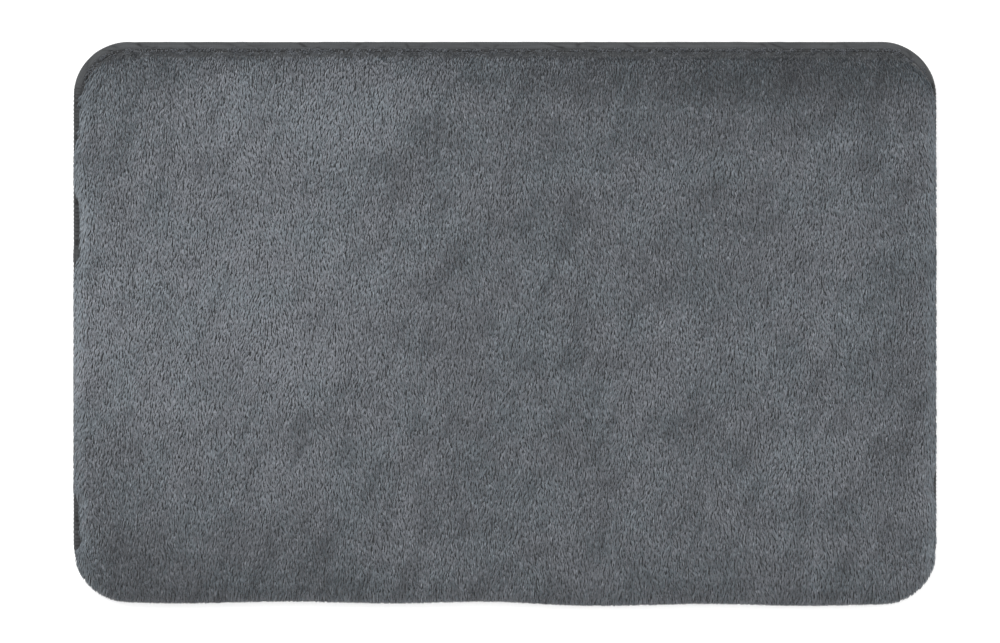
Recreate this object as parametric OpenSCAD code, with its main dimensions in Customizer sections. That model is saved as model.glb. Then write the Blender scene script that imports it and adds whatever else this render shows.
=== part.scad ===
// Plush bath mat. A pile fabric, a foam pad and a rubber-coated backing cloth are bonded into
// one flat sandwich, its edge is bound with a folded tape, and the coat's dots grip the floor.
// Sizes are in millimetres. The origin is the middle of the resting face, +Z is up, +X runs
// along the long side, and the pile is combed towards -Y, so it leaves the tape bare at +Y.

/* [Mat] */
// Length of the bound mat, along X
mat_l = 900; // [400:1:1500]
// Width of the bound mat, along Y
mat_w = 579; // [300:1:1200]
// Radius of the four corners, seen from above
corner_r = 57; // [30:1:120]

/* [Pile] */
// Height of the combed pile above its ground cloth
pile_h = 12; // [5:0.5:25]
// Bare strip between the edge at +Y and the pile
pile_setback = 10; // [5:0.5:20]
// How far the pile hangs over the edge at -Y
pile_overhang = 7; // [2:0.5:15]
// How far the pile stands inside the edge on the two short sides
pile_side_gap = 1; // [0:0.5:5]
// Height of the air gap between the seam thread and the pile that lies over it
pile_over_thread = 0.2; // [0.1:0.1:1]

/* [Layers] */
// Thickness of the knitted ground cloth that holds the pile
ground_t = 0.8; // [0.4:0.1:2]
// Thickness of each hot-melt bonding film
film_t = 0.15; // [0.05:0.05:0.5]
// Thickness of the foam pad
foam_t = 10; // [4:0.5:30]
// Thickness of the non-woven backing cloth
backing_t = 0.6; // [0.3:0.1:2]

/* [Edge binding] */
// Thickness of the binding tape
tape_t = 0.8; // [0.4:0.1:1.5]
// Width of each lip of the folded tape, from the edge inwards
lip_w = 12; // [11:0.5:25]
// Distance from the edge to the middle of the seam
seam_inset = 9; // [5:0.5:10]
// Thickness of the sewing thread
thread_d = 0.35; // [0.2:0.05:0.6]

/* [Grip coat] */
// Thickness of the rubber coat under the backing cloth
coat_t = 0.4; // [0.2:0.1:1.5]
// Diameter of a dot where it rises from the coat
dot_d = 7; // [3:0.5:14]
// Diameter of a dot's flat crest
dot_crest_d = 5; // [2:0.5:12]
// Height of a dot, which holds the tape and the seam off the floor
dot_h = 1.4; // [1.2:0.1:4]
// Distance between neighbouring dots
dot_pitch = 25; // [18:1:80]
// Bare strip between the tape and the nearest dots
dot_margin = 18; // [4:1:60]

/* [Care label] */
// Width of the label, along the edge
label_w = 34; // [15:1:60]
// Length of the label that shows beyond the tape
label_l = 22; // [10:1:40]
// Length of the label that is caught under the tape
label_tuck = 6; // [3.5:0.5:10]
// Thickness of the label
label_t = 0.25; // [0.1:0.05:0.4]
// Place of the label along the edge at +Y, from the middle of the mat
label_x = 330; // [-330:1:330]

/* [Hidden] */
$fn = 96;
// Gap that is left between the label and what lies round it
label_clear = 0.1;
// Gap that is left between the label and the dots beside it
label_dot_clear = 3;
// The bound mat stands off centre by half of the overhang, so that the whole mat is centred
mat_y = pile_overhang / 2;
// Heights of the faces between the layers, from the floor up
coat_z = dot_h;
backing_z = coat_z + coat_t;
lower_film_z = backing_z + backing_t;
foam_z = lower_film_z + film_t;
upper_film_z = foam_z + foam_t;
ground_z = upper_film_z + film_t;
ground_top = ground_z + ground_t;
tape_top = ground_top + tape_t;
tape_bottom = coat_z - tape_t;
pile_lap_z = tape_top + thread_d + pile_over_thread;
pile_top = ground_top + pile_h;
// Rows of dots are staggered, so they lie closer than the dots in a row
row_pitch = dot_pitch * sqrt(3) / 2;
row_count = ceil(mat_w / 2 / row_pitch);
column_count = ceil(mat_l / 2 / dot_pitch);

// How far a point of the bound mat lies inside its edge
function inside_by(x, y) =
    let (
        across = abs(x) - mat_l / 2 + corner_r,
        up = abs(y) - mat_w / 2 + corner_r
    )
    corner_r - norm([max(across, 0), max(up, 0)]) - min(max(across, up), 0);

// Whether a dot at this point would lie under the label
function under_label(x, y) =
    abs(x - label_x) < label_w / 2 + dot_d / 2 + label_dot_clear
    && y > mat_w / 2 - lip_w - label_l - dot_d / 2 - label_dot_clear;

// A rectangle with four round corners, centred on the origin
module round_rect(l, w, r) {
    square([l - 2 * r, w], center = true);
    square([l, w - 2 * r], center = true);
    for (x = [-1, 1], y = [-1, 1])
        translate([x * (l / 2 - r), y * (w / 2 - r)])
            circle(r);
}

// A flat layer with the mat's outline, drawn in from the edge
module layer(inset, z, t) {
    translate([0, mat_y, z])
        linear_extrude(t)
            round_rect(mat_l - 2 * inset, mat_w - 2 * inset, corner_r - inset);
}

// Sweeps a section once round the mat. The section's X is 0 at the edge and falls inwards,
// and its Y is the height.
module round_the_edge() {
    run_l = mat_l - 2 * corner_r;
    run_w = mat_w - 2 * corner_r;
    translate([0, mat_y, 0])
        for (turn = [0, 180])
            rotate(turn) {
                rotate([90, 0, 0])
                    linear_extrude(run_w, center = true)
                        translate([mat_l / 2, 0])
                            children();
                rotate([90, 0, 90])
                    linear_extrude(run_l, center = true)
                        translate([mat_w / 2, 0])
                            children();
                translate([run_l / 2, run_w / 2, 0])
                    rotate_extrude(angle = 90)
                        translate([corner_r, 0])
                            children();
                translate([-run_l / 2, run_w / 2, 0])
                    rotate([0, 0, 90])
                        rotate_extrude(angle = 90)
                            translate([corner_r, 0])
                                children();
            }
}

// The folded tape cut across: two lips joined by an outer wall with round corners
module tape_section() {
    for (z = [tape_bottom, ground_top])
        translate([-lip_w, z])
            square([lip_w - tape_t, tape_t]);
    translate([-tape_t, coat_z])
        square([tape_t, ground_top - coat_z]);
    for (z = [coat_z, ground_top])
        intersection() {
            translate([-tape_t, z])
                circle(tape_t);
            translate([-tape_t, z == coat_z ? tape_bottom : ground_top])
                square(tape_t);
        }
}

// The thread cut across, lying on a lip
module thread_section(z) {
    translate([-seam_inset - thread_d / 2, z])
        square(thread_d);
}

// The outline of the pile where it laps over the tape, shifted towards -Y by the combing
module pile_outline() {
    lap_l = mat_l - 2 * pile_side_gap;
    lap_w = mat_w - pile_setback + pile_overhang;
    translate([0, -pile_setback / 2])
        round_rect(lap_l, lap_w, corner_r);
}

module fur_pile() {
    color("slategray") {
        layer(lip_w, ground_top, pile_lap_z - ground_top);
        translate([0, 0, pile_lap_z])
            linear_extrude(pile_top - pile_lap_z)
                pile_outline();
    }
}

module ground_cloth() {
    color("dimgray")
        layer(tape_t, ground_z, ground_t);
}

module upper_bond_film() {
    color("gainsboro")
        layer(tape_t, upper_film_z, film_t);
}

module foam_core() {
    color("lightyellow")
        layer(tape_t, foam_z, foam_t);
}

module lower_bond_film() {
    color("gainsboro")
        layer(tape_t, lower_film_z, film_t);
}

module backing_cloth() {
    color("gray")
        layer(tape_t, backing_z, backing_t);
}

module grip_coat() {
    color("darkslategray") {
        layer(tape_t, coat_z, coat_t);
        for (row = [-row_count : row_count], column = [-column_count : column_count]) {
            x = (column + (row % 2 == 0 ? 0 : 0.5)) * dot_pitch;
            y = row * row_pitch;
            if (inside_by(x, y) > lip_w + dot_margin + dot_d / 2 && !under_label(x, y))
                translate([x, mat_y + y, 0])
                    cylinder(h = dot_h, d1 = dot_crest_d, d2 = dot_d);
        }
    }
}

module edge_binding() {
    color("darkgray")
        difference() {
            round_the_edge()
                tape_section();
            care_label_body(label_clear);
        }
}

module needle_thread() {
    color("black")
        round_the_edge()
            thread_section(tape_top);
}

module bobbin_thread() {
    color("black")
        round_the_edge()
            thread_section(tape_bottom - thread_d);
}

// The label, or the pocket that holds it when a gap is given
module care_label_body(gap) {
    tucked_y = mat_y + mat_w / 2 - lip_w + label_tuck;
    translate([label_x - label_w / 2 - gap, tucked_y - label_l - label_tuck, coat_z - label_t - gap])
        cube([label_w + 2 * gap, label_l + label_tuck + gap, label_t + gap]);
}

module care_label() {
    color("white")
        care_label_body(0);
}

fur_pile();
ground_cloth();
upper_bond_film();
foam_core();
lower_bond_film();
backing_cloth();
grip_coat();
edge_binding();
needle_thread();
bobbin_thread();
care_label();
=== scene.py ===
"""Looks of a plush bath mat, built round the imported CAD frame.

The combed fur, the folded edge tape, the seam stitches, the dotted rubber coat and the care
label are meshes made here. The foam, the films and the two inner cloths keep their CAD shape
and get their own finishes. All lengths are in metres.
"""

from __future__ import annotations

import logging
import math
from dataclasses import dataclass
from enum import Enum

import bmesh
import bpy
import numpy as np
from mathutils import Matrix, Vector

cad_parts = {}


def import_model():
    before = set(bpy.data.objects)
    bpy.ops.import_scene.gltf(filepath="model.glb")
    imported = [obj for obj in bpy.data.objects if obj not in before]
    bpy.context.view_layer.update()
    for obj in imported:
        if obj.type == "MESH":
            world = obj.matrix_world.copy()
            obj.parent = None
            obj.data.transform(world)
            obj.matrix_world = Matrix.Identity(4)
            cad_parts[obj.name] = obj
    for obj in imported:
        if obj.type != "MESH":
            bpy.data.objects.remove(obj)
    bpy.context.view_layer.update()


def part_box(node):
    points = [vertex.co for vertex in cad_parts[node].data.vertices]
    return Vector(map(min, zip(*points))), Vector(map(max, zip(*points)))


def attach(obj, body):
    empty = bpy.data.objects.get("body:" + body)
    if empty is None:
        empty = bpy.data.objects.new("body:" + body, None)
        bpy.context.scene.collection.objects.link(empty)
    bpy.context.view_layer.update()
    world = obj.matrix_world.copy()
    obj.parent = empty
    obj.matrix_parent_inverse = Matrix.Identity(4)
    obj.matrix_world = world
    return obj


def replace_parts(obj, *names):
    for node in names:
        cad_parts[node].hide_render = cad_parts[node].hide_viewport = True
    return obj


MM = 0.001
BODY = "root"
LOG = logging.getLogger("bath_mat")


# ---------------------------------------------------------------- plan of the mat


@dataclass(frozen=True)
class Fit:
    """Sizes that the boxes of the CAD nodes don't tell.

    Args:
        corner_radius: Radius of the bound mat's corners.
        lap_gap: Height of the seam thread and the air under the fur that laps over the tape.
        coat_thickness: Thickness of the rubber between its dots and the backing.
        needle_sink: How far the upper stitches' middle lies under the top of the tape.
        bobbin_sink: How far the lower stitches' middle lies over the bottom of the tape.
    """

    corner_radius: float = 57 * MM
    lap_gap: float = 0.55 * MM
    coat_thickness: float = 0.4 * MM
    needle_sink: float = 0.14 * MM
    bobbin_sink: float = 0.05 * MM


@dataclass(frozen=True)
class RoundRect:
    """A rectangle with four round corners, centred on X = 0, seen from above.

    Args:
        length: Size along X.
        width: Size along Y.
        radius: Radius of the corners.
        centre_y: Y of the middle.
    """

    length: float
    width: float
    radius: float
    centre_y: float = 0.0

    def corner_offsets(self, x: np.ndarray, y: np.ndarray) -> tuple[np.ndarray, np.ndarray]:
        """Say how far points lie past the corner centres.

        Args:
            x: X of the points.
            y: Y of the points.

        Returns:
            The distances past the corner centres along X and Y, below 0 nearer the middle.
        """
        across = np.abs(x) - self.length / 2 + self.radius
        up = np.abs(y - self.centre_y) - self.width / 2 + self.radius
        return across, up

    def inside_by(self, x: np.ndarray, y: np.ndarray) -> np.ndarray:
        """Say how far points lie inside the outline.

        Args:
            x: X of the points.
            y: Y of the points.

        Returns:
            The distance to the outline, below 0 outside it.
        """
        across, up = self.corner_offsets(x, y)
        past = np.hypot(np.maximum(across, 0), np.maximum(up, 0))
        return self.radius - past - np.minimum(np.maximum(across, up), 0)

    def outward(self, x: np.ndarray, y: np.ndarray) -> tuple[np.ndarray, np.ndarray]:
        """Find the direction to the nearest stretch of the outline.

        Args:
            x: X of the points.
            y: Y of the points.

        Returns:
            The X and Y of unit vectors that point outwards.
        """
        across, up = self.corner_offsets(x, y)
        soft = self.radius / 4
        east = np.where(across > 0, across, 0) + soft * np.exp((across - np.maximum(across, up)) / soft)
        north = np.where(up > 0, up, 0) + soft * np.exp((up - np.maximum(across, up)) / soft)
        size = np.hypot(east, north)
        return np.sign(x) * east / size, np.sign(y - self.centre_y) * north / size

    def shrunk(self, inset: float) -> "RoundRect":
        """Return the same outline drawn in by an inset."""
        radius = max(self.radius - inset, MM)
        return RoundRect(self.length - 2 * inset, self.width - 2 * inset, radius, self.centre_y)

    @property
    def perimeter(self) -> float:
        """Length of the outline."""
        return 2 * (self.length + self.width - 4 * self.radius) + math.tau * self.radius

    def walk(self, along: np.ndarray) -> tuple[np.ndarray, np.ndarray]:
        """Follow the outline anticlockwise from the middle of the +X side.

        Args:
            along: Distances walked, from 0 to the perimeter.

        Returns:
            The points, and the unit vectors that point outwards there, each an (n, 2) array.
        """
        half_l = self.length / 2 - self.radius
        half_w = self.width / 2 - self.radius
        quarter = self.radius * math.pi / 2
        runs = [half_w, quarter, 2 * half_l, quarter, 2 * half_w, quarter, 2 * half_l, quarter, half_w]
        corners = [(half_l, half_w), (-half_l, half_w), (-half_l, -half_w), (half_l, -half_w)]
        points = np.zeros((len(along), 2))
        normals = np.zeros((len(along), 2))
        begin, slack = 0.0, 1e-9
        for index, run in enumerate(runs):
            turn, is_corner = divmod(index, 2)
            here = (along >= begin - slack) & (along <= begin + run + slack)
            gone = along[here] - begin
            if is_corner:
                angle = turn * math.pi / 2 + gone / self.radius
                centre = np.array(corners[turn])
                normal = np.stack([np.cos(angle), np.sin(angle)], axis=1)
                points[here] = centre + self.radius * normal
            else:
                angle = turn * math.pi / 2
                normal = np.array([math.cos(angle), math.sin(angle)])
                tangent = np.array([-normal[1], normal[0]])
                corner = np.array(corners[turn - 1] if index else (half_l, 0.0))
                start = corner + self.radius * normal
                points[here] = start + gone[:, None] * tangent
            normals[here] = normal
            begin += run
        points[:, 1] += self.centre_y
        return points, normals


def lattice_noise(seed: int, x: np.ndarray, y: np.ndarray) -> np.ndarray:
    """Smooth seeded noise on a two-dimensional lattice.

    Args:
        seed: Which pattern to make.
        x: The first coordinate, in lattice cells.
        y: The second coordinate, in lattice cells.

    Returns:
        Values from about -1 to 1.
    """
    size = 512
    table = np.random.default_rng(seed).uniform(-1, 1, (size, size))
    left, low = np.floor(x).astype(int), np.floor(y).astype(int)
    fx, fy = x - left, y - low
    fx, fy = fx * fx * (3 - 2 * fx), fy * fy * (3 - 2 * fy)

    def corner(i: int, j: int) -> np.ndarray:
        """Look up the lattice value at a cell's corner."""
        return table[(left + i) % size, (low + j) % size]

    bottom = corner(0, 0) * (1 - fx) + corner(1, 0) * fx
    top = corner(0, 1) * (1 - fx) + corner(1, 1) * fx
    return bottom * (1 - fy) + top * fy


def smoothstep(value: np.ndarray, low: float, high: float) -> np.ndarray:
    """Ease from 0 at one value to 1 at another."""
    share = np.clip((value - low) / (high - low), 0, 1)
    return share * share * (3 - 2 * share)


# ---------------------------------------------------------------- finishes

Colour = tuple[float, float, float]


def linear(*display: float) -> Colour:
    """Turn display values from 0 to 255 into linear ones."""
    return tuple(((v / 255 + 0.055) / 1.055) ** 2.4 for v in display)


class Graph:
    """A material's node tree, built up by short calls."""

    def __init__(self, name: str) -> None:
        """Start a material with one Principled shader.

        Args:
            name: Name of the material.
        """
        self.material = bpy.data.materials.new(name)
        self.material.use_nodes = True
        self.tree = self.material.node_tree
        self.shader = self.tree.nodes["Principled BSDF"]

    def node(self, kind: str, settings: dict[str, object] | None = None, **inputs: object) -> bpy.types.Node:
        """Add a node and feed its inputs.

        Args:
            kind: The node's type name.
            settings: Properties to set on the node.
            **inputs: Input names, with underscores for spaces, and sockets or values.

        Returns:
            The new node.
        """
        made = self.tree.nodes.new(kind)
        for key, value in (settings or {}).items():
            setattr(made, key, value)
        for key, value in inputs.items():
            self.feed(made, key.replace("_", " "), value)
        return made

    def feed(self, node: bpy.types.Node, name: str | int, value: object) -> None:
        """Link a socket to a node's input, or set the input's own value.

        Args:
            node: The node to feed.
            name: The input's name or number.
            value: An output socket, or a plain value.
        """
        if isinstance(value, bpy.types.NodeSocket):
            self.tree.links.new(value, node.inputs[name])
        else:
            node.inputs[name].default_value = value

    def surface(self, **values: object) -> None:
        """Feed the shader's own inputs, named with underscores for spaces."""
        for key, value in values.items():
            self.feed(self.shader, key.replace("_", " "), value)

    def place(self, stretch: tuple[float, float, float] = (1, 1, 1)) -> bpy.types.NodeSocket:
        """Return Object coordinates, stretched."""
        coordinates = self.node("ShaderNodeTexCoord").outputs["Object"]
        return self.node("ShaderNodeMapping", Vector=coordinates, Scale=stretch).outputs[0]

    def cloth(self, length: float, width: float) -> bpy.types.NodeSocket:
        """Return the piece's own UV map in metres of cloth."""
        coordinates = self.node("ShaderNodeTexCoord").outputs["UV"]
        return self.node("ShaderNodeMapping", Vector=coordinates, Scale=(length, width, 1)).outputs[0]

    def noise(self, vector: bpy.types.NodeSocket, scale: float, detail: float = 2.0) -> bpy.types.NodeSocket:
        """Return a noise texture's value over a vector."""
        made = self.node("ShaderNodeTexNoise", Vector=vector, Scale=scale, Detail=detail)
        return made.outputs["Fac"]

    def ribs(
        self, vector: bpy.types.NodeSocket, pitch: float, axis: str, wobble: float = 1.0
    ) -> bpy.types.NodeSocket:
        """Return the value of parallel ribs.

        Args:
            vector: The coordinates, in metres.
            pitch: Distance from rib to rib.
            axis: "X" or "Y", across the ribs.
            wobble: How much the ribs wander.

        Returns:
            The value, 1 on the ribs.
        """
        made = self.node(
            "ShaderNodeTexWave",
            {"wave_type": "BANDS", "bands_direction": axis, "wave_profile": "SIN"},
            Vector=vector,
            Scale=math.tau / 20 / pitch,
            Distortion=wobble,
            Detail=1.0,
            Detail_Scale=2.0,
        )
        return made.outputs["Fac"]

    def blend(
        self, first: bpy.types.NodeSocket | float, second: bpy.types.NodeSocket | float, operation: str
    ) -> bpy.types.NodeSocket:
        """Work out one value from two.

        Args:
            first: The first value, a socket or a number.
            second: The second value, a socket or a number.
            operation: The Math node's operation.

        Returns:
            The result.
        """
        made = self.node("ShaderNodeMath", {"operation": operation})
        self.feed(made, 0, first)
        self.feed(made, 1, second)
        return made.outputs[0]

    def ramp(self, factor: bpy.types.NodeSocket, *stops: tuple[float, Colour]) -> bpy.types.NodeSocket:
        """Turn a value into colours.

        Args:
            factor: The value.
            *stops: Places from 0 to 1, each with its linear colour.

        Returns:
            The colour.
        """
        made = self.node("ShaderNodeValToRGB", Fac=factor)
        elements = made.color_ramp.elements
        while len(elements) < len(stops):
            elements.new(0.5)
        for element, (place, colour) in zip(elements, stops):
            element.position = place
            element.color = (*colour, 1.0)
        return made.outputs["Color"]

    def spread(self, value: bpy.types.NodeSocket, low: float, high: float) -> bpy.types.NodeSocket:
        """Return a value from 0 to 1 spread between two others."""
        return self.node("ShaderNodeMapRange", Value=value, To_Min=low, To_Max=high).outputs[0]

    def bump(self, height: bpy.types.NodeSocket, strength: float, distance: float) -> None:
        """Feed the shader's normal from a height."""
        made = self.node("ShaderNodeBump", Height=height, Strength=strength, Distance=distance)
        self.surface(Normal=made.outputs[0])


@dataclass(frozen=True)
class FibreShade:
    """One shade of dyed pile fibre.

    Args:
        name: Name of the material.
        colour: Linear base colour.
        roughness: How matt the fibres are.
        sheen: How much light the loose fibres catch along their edges.
    """

    name: str
    colour: Colour
    roughness: float = 0.62
    sheen: float = 0.25

    def material(self) -> bpy.types.Material:
        """Build the shade's material.

        Returns:
            The material.
        """
        graph = Graph(self.name)
        graph.surface(
            Base_Color=(*self.colour, 1.0),
            Roughness=self.roughness,
            Specular_IOR_Level=0.3,
            Sheen_Weight=self.sheen,
            Sheen_Roughness=0.45,
        )
        return graph.material


@dataclass(frozen=True)
class UndercoatFinish:
    """The fibres under the tips of the pile, coloured in painted shade: far darker than the tips, darkest
    between the strands.

    Args:
        dark: Colour between the strands, painted shade.
        light: Colour on the strands, also darkened as painted shade.
        strands: Strands in a metre along X.
        drag: Share of that along Y and Z, where the combing draws them out.
    """

    dark: Colour = linear(26, 28, 30)
    light: Colour = linear(56, 59, 62)
    strands: float = 620
    drag: float = 0.25

    def material(self) -> bpy.types.Material:
        """Build the material.

        Returns:
            The material.
        """
        graph = Graph("fur_undercoat")
        strands = graph.noise(graph.place((1, self.drag, self.drag)), self.strands, 3)
        # Painted shade: the whole undercoat is coloured dark for the shade deep in the pile, darkest between
        # the strands.
        graph.surface(
            Base_Color=graph.ramp(strands, (0.35, self.dark), (0.65, self.light)),
            Roughness=0.85,
            Sheen_Weight=0.2,
        )
        graph.bump(strands, 0.6, 0.8 * MM)
        return graph.material


@dataclass(frozen=True)
class TapeFinish:
    """Brushed knit binding tape, ribbed along its length.

    Args:
        length: Length of the tape.
        girth: Width of the tape round both of its faces.
        crease: Colour of the painted shade deep in a crease, along the seam and under the lapping fur.
        dark: Colour between the ribs.
        light: Colour on the ribs.
        rib: Distance from rib to rib.
        streaks: Brushed streaks in a metre, along the tape and across it.
        fuzz: Tufts of fuzz in a metre, along the tape and across it.
    """

    length: float
    girth: float
    crease: Colour = linear(16, 16, 17)
    dark: Colour = linear(40, 42, 44)
    light: Colour = linear(64, 66, 68)
    rib: float = 1.1 * MM
    streaks: tuple[float, float] = (30, 260)
    fuzz: tuple[float, float] = (420, 700)

    def mottle(self, graph: Graph, cells: tuple[float, float], detail: float) -> bpy.types.NodeSocket:
        """Return a noise with so many cells in a metre along the tape and across it."""
        return graph.noise(graph.cloth(self.length * cells[0], self.girth * cells[1]), 1.0, detail)

    def material(self) -> bpy.types.Material:
        """Build the material.

        Returns:
            The material.
        """
        graph = Graph("binding_knit")
        cloth = graph.cloth(self.length, self.girth)
        ribs = graph.ribs(cloth, self.rib, "Y", 0.6)
        wales = graph.ribs(cloth, self.rib * 1.6, "X", 1.2)
        knit = graph.blend(ribs, wales, "MULTIPLY")
        streaks = self.mottle(graph, self.streaks, 3)
        fuzz = self.mottle(graph, self.fuzz, 2)
        tone = graph.blend(streaks, graph.blend(knit, 0.2, "MULTIPLY"), "ADD")
        tone = graph.blend(tone, graph.blend(graph.blend(fuzz, 0.5, "SUBTRACT"), 0.5, "MULTIPLY"), "ADD")
        # The "crease" attribute is painted shading: shade in the creases, along the seam and under the
        # lapping fur, and a highlight on the lip's ridge.
        painted_shading = graph.node("ShaderNodeAttribute", {"attribute_name": "crease"}).outputs["Fac"]
        tone = graph.blend(tone, painted_shading, "SUBTRACT")
        graph.surface(
            Base_Color=graph.ramp(tone, (0.0, self.crease), (0.35, self.dark), (0.85, self.light)),
            Roughness=graph.spread(streaks, 0.72, 0.9),
            Sheen_Weight=0.12,
            Sheen_Roughness=0.5,
        )
        graph.bump(knit, 0.5, 0.25 * MM)
        return graph.material


@dataclass(frozen=True)
class ThreadFinish:
    """Two-ply sewing thread.

    Args:
        dark: Colour between the plies.
        light: Colour on the plies.
        twist: Distance from ply to ply.
    """

    dark: Colour = linear(50, 52, 55)
    light: Colour = linear(86, 88, 92)
    twist: float = 0.5 * MM

    def material(self) -> bpy.types.Material:
        """Build the material.

        Returns:
            The material.
        """
        graph = Graph("seam_thread")
        twist = graph.ribs(graph.place((1, 1, 2.5)), self.twist, "DIAGONAL", 2.0)
        graph.surface(
            Base_Color=graph.ramp(twist, (0.1, self.dark), (0.9, self.light)),
            Roughness=0.55,
            Sheen_Weight=0.15,
        )
        graph.bump(twist, 0.7, 0.08 * MM)
        return graph.material


@dataclass(frozen=True)
class RubberFinish:
    """Matt moulded rubber with the faint print of the cloth it is spread on.

    Args:
        dark: Colour of the darker clouds.
        light: Colour of the lighter clouds.
        crest: Colour of the dots' crests, paler both for rubbing wear and as a painted highlight.
        wear_and_sheen_top: Height above the floor where the crests' paler colour ends.
        wear_and_sheen_full: Height where it is full.
        weave: Distance from thread to thread in the print.
    """

    dark: Colour = linear(52, 56, 60)
    light: Colour = linear(70, 74, 79)
    crest: Colour = linear(104, 108, 113)
    wear_and_sheen_top: float = 1.25 * MM
    wear_and_sheen_full: float = 0.1 * MM
    weave: float = 1.6 * MM

    def material(self) -> bpy.types.Material:
        """Build the material.

        Returns:
            The material.
        """
        graph = Graph("grip_rubber")
        place = graph.place()
        clouds = graph.noise(place, 18, 5)
        grain = graph.noise(place, 900, 2)
        warp, weft = (graph.ribs(place, self.weave, axis, 0.4) for axis in "XY")
        weave = graph.blend(warp, weft, "MULTIPLY")
        # Paler crests on the dots: partly rubbing wear, partly a painted highlight on the tips.
        height = graph.node("ShaderNodeSeparateXYZ", Vector=place).outputs["Z"]
        worn_and_lit = graph.node("ShaderNodeMapRange", Value=height, From_Min=self.wear_and_sheen_top, From_Max=self.wear_and_sheen_full)
        wear_and_sheen = worn_and_lit.outputs[0]
        tone = graph.blend(clouds, grain, "MULTIPLY")
        tone = graph.blend(tone, graph.blend(wear_and_sheen, 0.4, "MULTIPLY"), "ADD")
        graph.surface(
            Base_Color=graph.ramp(tone, (0.15, self.dark), (0.42, self.light), (0.8, self.crest)),
            Roughness=graph.spread(tone, 0.72, 0.4),
            Specular_IOR_Level=0.4,
        )
        graph.bump(graph.blend(weave, grain, "ADD"), 0.45, 0.12 * MM)
        return graph.material


@dataclass(frozen=True)
class SatinFinish:
    """White woven satin.

    Args:
        size_x: Size of the ribbon along X.
        size_y: Size of the ribbon along Y.
        dark: Colour between the floating threads.
        light: Colour on the floating threads.
        float_pitch: Distance from floating thread to floating thread.
    """

    size_x: float
    size_y: float
    dark: Colour = linear(158, 156, 150)
    light: Colour = linear(222, 220, 213)
    float_pitch: float = 0.35 * MM

    def material(self) -> bpy.types.Material:
        """Build the material.

        Returns:
            The material.
        """
        graph = Graph("label_satin")
        floats = graph.ribs(graph.cloth(self.size_x, self.size_y), self.float_pitch, "X", 0.8)
        slubs = graph.noise(graph.cloth(self.size_x * 4, self.size_y * 40), 60, 2)
        tone = graph.blend(graph.blend(floats, 0.3, "MULTIPLY"), graph.blend(slubs, 0.8, "MULTIPLY"), "ADD")
        graph.surface(
            Base_Color=graph.ramp(tone, (0.2, self.dark), (0.75, self.light)),
            Roughness=0.38,
            Anisotropic=0.5,
            Sheen_Weight=0.2,
        )
        graph.bump(floats, 0.4, 0.05 * MM)
        return graph.material


class InnerCloth(Enum):
    """The layers between the fur and the rubber: name, two tones, grain in mm and roughness."""

    GROUND = ("ground_knit", (72, 75, 79), (100, 103, 108), 0.9, 0.9)
    FOAM = ("foam_cells", (206, 200, 176), (232, 227, 206), 0.7, 0.95)
    BACKING = ("backing_felt", (84, 87, 91), (120, 123, 127), 1.4, 0.95)
    FILM = ("bond_film", (196, 197, 196), (224, 225, 224), 3.0, 0.3)

    def material(self) -> bpy.types.Material:
        """Build the layer's material.

        Returns:
            The material.
        """
        name, dark, light, grain, roughness = self.value
        graph = Graph(name)
        place = graph.place()
        if self is InnerCloth.FOAM:
            cells = graph.node("ShaderNodeTexVoronoi", Vector=place, Scale=1 / (grain * MM))
            relief = cells.outputs["Distance"]
        elif self is InnerCloth.GROUND:
            wales, courses = graph.ribs(place, grain * MM, "X", 0.5), graph.ribs(place, grain * MM, "Y", 1.5)
            relief = graph.blend(wales, courses, "MULTIPLY")
        else:
            relief = graph.noise(place, 1 / (grain * MM), 4)
        graph.surface(
            Base_Color=graph.ramp(relief, (0.25, linear(*dark)), (0.75, linear(*light))),
            Roughness=roughness,
        )
        graph.bump(relief, 0.5, 0.2 * MM)
        return graph.material


# ---------------------------------------------------------------- mesh helpers


def grid_over(xs: np.ndarray, ys: np.ndarray) -> tuple[np.ndarray, np.ndarray]:
    """Return X and Y of every crossing of a grid's lines, each in one row."""
    x, y = np.meshgrid(xs, ys)
    return x.ravel(), y.ravel()


def unit(rows: np.ndarray) -> np.ndarray:
    """Return rows of vectors, each made 1 long."""
    return rows / np.linalg.norm(rows, axis=1)[:, None]


def turned(first: np.ndarray, second: np.ndarray, angle: np.ndarray) -> tuple[np.ndarray, np.ndarray]:
    """Turn rows of two square vectors in their own plane, the first towards the second."""
    cosine, sine = np.cos(angle)[:, None], np.sin(angle)[:, None]
    return first * cosine + second * sine, second * cosine - first * sine


def cut_across(bm: bmesh.types.BMesh, heights: tuple[float, ...]) -> None:
    """Cut a bmesh level at some heights, which leaves it whole but adds edges.

    Args:
        bm: The bmesh.
        heights: Where to cut it along Z.
    """
    for z in heights:
        everything = bm.verts[:] + bm.edges[:] + bm.faces[:]
        bmesh.ops.bisect_plane(bm, geom=everything, plane_co=(0, 0, z), plane_no=(0, 0, 1))


def smooth_faces(bm: bmesh.types.BMesh, most_sides: int | None = None) -> None:
    """Point the faces outwards and shade them smooth.

    Args:
        bm: The bmesh.
        most_sides: Most sides that a smooth face may have, if that is limited.
    """
    bmesh.ops.recalc_face_normals(bm, faces=bm.faces)
    for face in bm.faces:
        face.smooth = most_sides is None or len(face.verts) <= most_sides


def loose(name: str, bm: bmesh.types.BMesh, material: bpy.types.Material) -> bpy.types.Object:
    """Turn a bmesh into an object that isn't in the scene.

    Args:
        name: Name of the object.
        bm: The bmesh, which is freed.
        material: The object's material.

    Returns:
        The object, at the origin.
    """
    mesh = bpy.data.meshes.new(name)
    bm.to_mesh(mesh)
    bm.free()
    mesh.materials.append(material)
    return bpy.data.objects.new(name, mesh)


def finished(name: str, bm: bmesh.types.BMesh, material: bpy.types.Material) -> bpy.types.Object:
    """Turn a bmesh into an object in the scene.

    Args:
        name: Name of the object.
        bm: The bmesh, which is freed.
        material: The object's material.

    Returns:
        The object, at the origin.
    """
    made = loose(name, bm, material)
    bpy.context.scene.collection.objects.link(made)
    return made


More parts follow.
